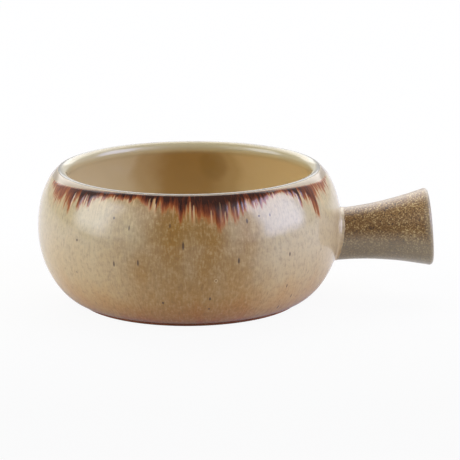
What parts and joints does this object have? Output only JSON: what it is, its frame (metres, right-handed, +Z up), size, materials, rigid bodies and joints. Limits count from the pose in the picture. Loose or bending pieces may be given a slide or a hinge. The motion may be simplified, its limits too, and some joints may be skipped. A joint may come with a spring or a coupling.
{
  "type": "french onion soup crock",
  "caption": "Low round glazed stoneware soup crock with a turned-in rim, a foot ring and one hollow flared side handle.",
  "frame": {"origin": "on the table, under the middle of the bowl: the centre of the circle that the foot ring stands on", "axes": "+Z up along the bowl's axis, +X along the side handle towards its open end, +Y across the handle"},
  "size_m": [0.1694, 0.13, 0.0575],
  "materials": {
    "stoneware_clay": "bare fired stoneware, fine matt grain",
    "liner_glaze": "glossy tan glaze, thinner and paler over the lip",
    "wall_glaze": "glossy ochre glaze with fine streaks and iron spots",
    "iron_glaze": "glossy dark red-brown iron glaze that has run",
    "handle_glaze": "satin speckled brown glaze"
  },
  "bodies": {
    "root": {"bowl_body": "stoneware_clay", "handle_body": "stoneware_clay", "handle_fillet": "wall_glaze", "liner_glaze": "liner_glaze", "wall_glaze": "wall_glaze", "rim_glaze": "iron_glaze", "handle_glaze": "handle_glaze", "base_glaze": "wall_glaze"}
  },
  "joints": []
}
